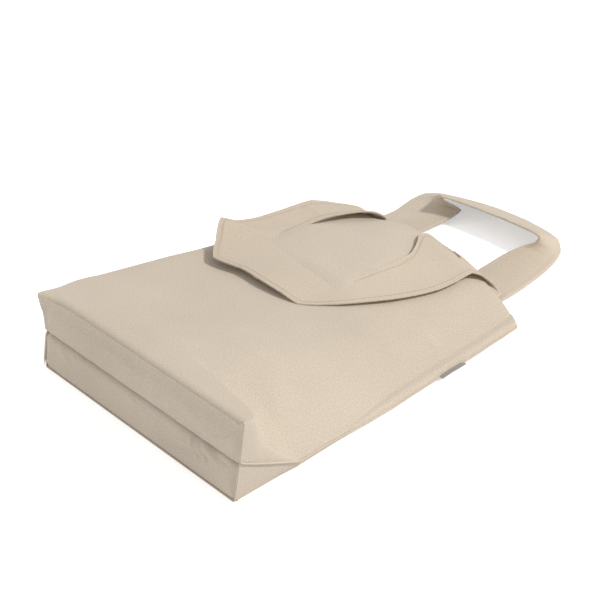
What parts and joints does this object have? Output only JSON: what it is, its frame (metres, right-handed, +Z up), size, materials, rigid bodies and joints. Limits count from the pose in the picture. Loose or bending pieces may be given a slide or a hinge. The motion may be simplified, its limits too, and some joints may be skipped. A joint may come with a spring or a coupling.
{
  "type": "canvas tote bag",
  "caption": "Plain canvas tote bag with a boxed bottom, lying flat on its back panel, with one wide shoulder handle folded over the front and the other laid out beyond the mouth.",
  "frame": {"origin": "middle of the resting face, on the floor under the back panel", "axes": "+X across the bag towards the seam with the label, +Y from the boxed bottom to the mouth, +Z up from the floor"},
  "size_m": [0.3446, 0.5941, 0.086],
  "materials": {
    "canvas": "plain-woven unbleached cotton canvas, matt",
    "seams": "cut canvas edges turned inside the seams",
    "thread": "cotton sewing thread",
    "label": "plain woven tape with a light band, no lettering"
  },
  "bodies": {
    "bag": {"back_panel": "canvas", "bottom_seam": "seams", "near_side_seam": "seams", "far_side_seam": "seams", "near_corner_seam_low": "seams", "far_corner_seam_low": "seams", "back_hem": "canvas", "back_handle_ends": "canvas", "back_handle_tacks": "thread"},
    "front": {"front_panel": "canvas", "near_corner_seam_high": "seams", "far_corner_seam_high": "seams", "front_hem": "canvas", "front_handle_ends": "canvas", "front_handle_tacks": "thread"},
    "front_handle": {"front_handle": "canvas", "front_handle_joint": "canvas"},
    "back_handle": {"back_handle": "canvas", "back_handle_joint": "canvas"},
    "label": {"side_label": "label"}
  },
  "joints": [
    {"name": "mouth_open", "type": "hinge", "parent": "bag", "child": "front", "pos_m": [0.0105, -0.189, 0.086], "axis": [1, 0, 0], "range_deg": [0, 6]},
    {"name": "front_handle_lift", "type": "hinge", "parent": "front", "child": "front_handle", "pos_m": [0.0105, 0.225, 0.025], "axis": [-1, 0, 0], "range_deg": [0, 65]},
    {"name": "back_handle_lift", "type": "hinge", "parent": "bag", "child": "back_handle", "pos_m": [0.0105, 0.227, 0.005], "axis": [1, 0, 0], "range_deg": [0, 45]},
    {"name": "label_fold", "type": "hinge", "parent": "bag", "child": "label", "pos_m": [0.1681, 0.09, 0.0045], "axis": [0, -1, 0], "range_deg": [0, 70]}
  ]
}
